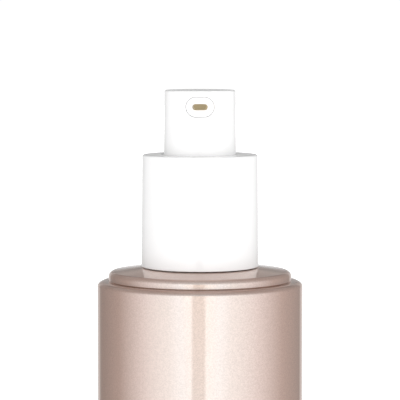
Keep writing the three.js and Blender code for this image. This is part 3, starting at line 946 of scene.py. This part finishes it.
def softbox_glow():
    """The softbox's light: its profile around the object, dimmed high up at the back."""
    material, nodes, links, shader = new_material("softbox_glow")
    place = nodes.new("ShaderNodeSeparateXYZ")
    links.new(object_position(nodes), place.inputs["Vector"])
    angle = nodes.new("ShaderNodeMath")
    angle.operation = "ARCTAN2"
    links.new(place.outputs["X"], angle.inputs[0])
    links.new(place.outputs["Y"], angle.inputs[1])
    turn = nodes.new("ShaderNodeMapRange")
    turn.inputs["From Min"].default_value = -math.pi
    turn.inputs["From Max"].default_value = math.pi
    links.new(angle.outputs["Value"], turn.inputs["Value"])
    glow = add_grey_ramp(nodes, links, turn.outputs["Result"], band_profile())
    at_back = add_grey_ramp(nodes, links, turn.outputs["Result"], BACK_ZONE)
    shade = nodes.new("ShaderNodeMapRange")
    shade.inputs["From Min"].default_value, shade.inputs["From Max"].default_value = BACK_SHADE
    shade.inputs["To Min"].default_value = BAND_LIGHT
    shade.inputs["To Max"].default_value = BAND_LIGHT * BACK_LEVEL
    links.new(place.outputs["Z"], shade.inputs["Value"])
    light = nodes.new("ShaderNodeMix")
    light.inputs["A"].default_value = BAND_LIGHT
    links.new(at_back, light.inputs["Factor"])
    links.new(shade.outputs["Result"], light.inputs["B"])
    strength = nodes.new("ShaderNodeMath")
    strength.operation = "MULTIPLY"
    links.new(glow, strength.inputs[0])
    links.new(light.outputs["Result"], strength.inputs[1])
    links.new(strength.outputs["Value"], shader.inputs["Emission Strength"])
    shader.inputs["Emission Color"].default_value = (1, 1, 1, 1)
    shader.inputs["Base Color"].default_value = (0, 0, 0, 1)
    shader.inputs["Specular IOR Level"].default_value = 0
    return material


def add_grey_ramp(nodes, links, factor, stops):
    """A ramp through (place, level) stops."""
    return add_ramp(nodes, links, factor, [(place, (level,) * 3) for place, level in stops])


def band_profile():
    """(share of a full turn from the front by the left, share of full brightness) stops.

    The ramp starts and ends at the front, where the gap is, and the back is at its middle.
    """
    gap_edge = 0.002
    left_gap, right_gap = (degrees / 360 for degrees in BAND_GAP)
    left = [(0, GAP_LEVEL), (left_gap, GAP_LEVEL), (left_gap + gap_edge, 1.0)]
    left += [(degrees / 360, level) for degrees, level in LEFT_LEVELS]
    right = [(0, GAP_LEVEL), (right_gap, GAP_LEVEL), (right_gap + gap_edge, 1.0)]
    right += [(degrees / 360, level) for degrees, level in RIGHT_LEVELS]
    return left + [(1 - share, level) for share, level in reversed(right)]


def light_stage():
    """The softbox in a pale room, whose light changes gently from the table up to the ceiling."""
    world = bpy.data.worlds.new("studio")
    bpy.context.scene.world = world
    world.use_nodes = True
    nodes, links = world.node_tree.nodes, world.node_tree.links
    direction = nodes.new("ShaderNodeSeparateXYZ")
    links.new(nodes.new("ShaderNodeTexCoord").outputs["Generated"], direction.inputs["Vector"])
    brightness = nodes.new("ShaderNodeMapRange")
    brightness.interpolation_type = "SMOOTHSTEP"
    brightness.inputs["From Min"].default_value, brightness.inputs["From Max"].default_value = HORIZON
    brightness.inputs["To Min"].default_value = TABLE_LIGHT
    brightness.inputs["To Max"].default_value = CEILING_LIGHT
    links.new(direction.outputs["Z"], brightness.inputs["Value"])
    links.new(brightness.outputs["Result"], nodes["Background"].inputs["Strength"])
    nodes["Background"].inputs["Color"].default_value = (1, 1, 1, 1)
    light_band()
    bpy.context.scene.view_settings.view_transform = "Standard"


CAMERA_LENS = 217.4            # focal length for a sensor 36 mm wide
CAMERA_DISTANCE = 0.4331       # from the axis, in metres
CAMERA_RISE = 47.17            # above the shoulder, in millimetres
CAMERA_PITCH = 4.303           # degrees down


def make_camera():
    """The camera looks slightly down on the collar from far in front, and crops the foot of the bottle."""
    camera = bpy.data.objects.new("camera", bpy.data.cameras.new("camera"))
    bpy.context.collection.objects.link(camera)
    camera.data.sensor_width = 36
    camera.data.lens = CAMERA_LENS
    camera.location = (0, -CAMERA_DISTANCE, (SHOULDER + CAMERA_RISE) * MM)
    camera.rotation_euler = (math.radians(90 - CAMERA_PITCH), 0, 0)
    bpy.context.scene.camera = camera


# ------------------------------------------------------------------ assembly

make_camera()
light_stage()
make_floor()
make_backdrop()

white_gloss = moulded("white_gloss_plastic", (0.94, 0.937, 0.937), 0.14, cloud=0.01)
white_matt = moulded("white_inner_plastic", (0.85, 0.85, 0.84), 0.4)
natural = moulded("natural_polypropylene", (0.74, 0.77, 0.76), 0.35)
waxy = moulded("waxy_polyethylene", (0.72, 0.76, 0.78), 0.5)
foam = moulded("gasket_foam", (0.82, 0.81, 0.78), 0.9, cloud=0.1)

PIECES = [
    (make_bottle, "bottle", "bottle_body", "pearl_glass", pearl_coat()),
    (make_closure, "screw_closure", "closure", "white_inner", white_matt),
    (make_sleeve, "collar_sleeve", "closure", "white_shell", white_gloss),
    (make_gasket, "neck_gasket", "pump_engine", "gasket_foam", foam),
    (make_housing, "pump_housing", "pump_engine", "natural_plastic", natural),
    (make_retainer, "housing_retainer", "pump_engine", "natural_plastic", natural),
    (make_piston, "piston", "sliding_piston", "soft_plastic", waxy),
    (make_seat, "piston_seat", "plunger", "natural_plastic", natural),
    (make_spring, "return_spring", "pump_engine", "spring_steel", drawn_steel()),
    (make_ball, "check_ball", "inlet_ball", "clear_glass", ball_glass()),
    (make_dip_tube, "dip_tube", "pump_engine", "soft_plastic", waxy),
    (make_stem, "stem", "pump_head", "natural_plastic", natural),
    (make_actuator, "actuator", "pump_head", "white_shell", white_gloss),
    (make_nozzle, "nozzle_insert", "pump_head", "white_shell", white_gloss),
]

# Painted warm shade and painted glow for the faces inside the spout, picked out by the boxes below.
spout_painted_shade = painted_spout_shade_glow()
PAINTED_SHADE_BOXES = {
    "actuator": ((-1.3, -3.45, SPOUT_HEIGHT - 1.7), (1.3, 1.3, SPOUT_HEIGHT + 1.3)),
    "nozzle_insert": ((-1.4, -5.5, SPOUT_HEIGHT - 0.6), (1.4, -3.5, SPOUT_HEIGHT + 0.6)),
}

for make, node, body, slot, material in PIECES:
    piece = make()
    piece.data.materials.append(material)
    if node in PAINTED_SHADE_BOXES:
        tint_inside(piece, spout_painted_shade, *PAINTED_SHADE_BOXES[node])
    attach(piece, body)
    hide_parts(node)

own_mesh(bpy.data.objects["return_spring_wire"])

bpy.context.view_layer.update()
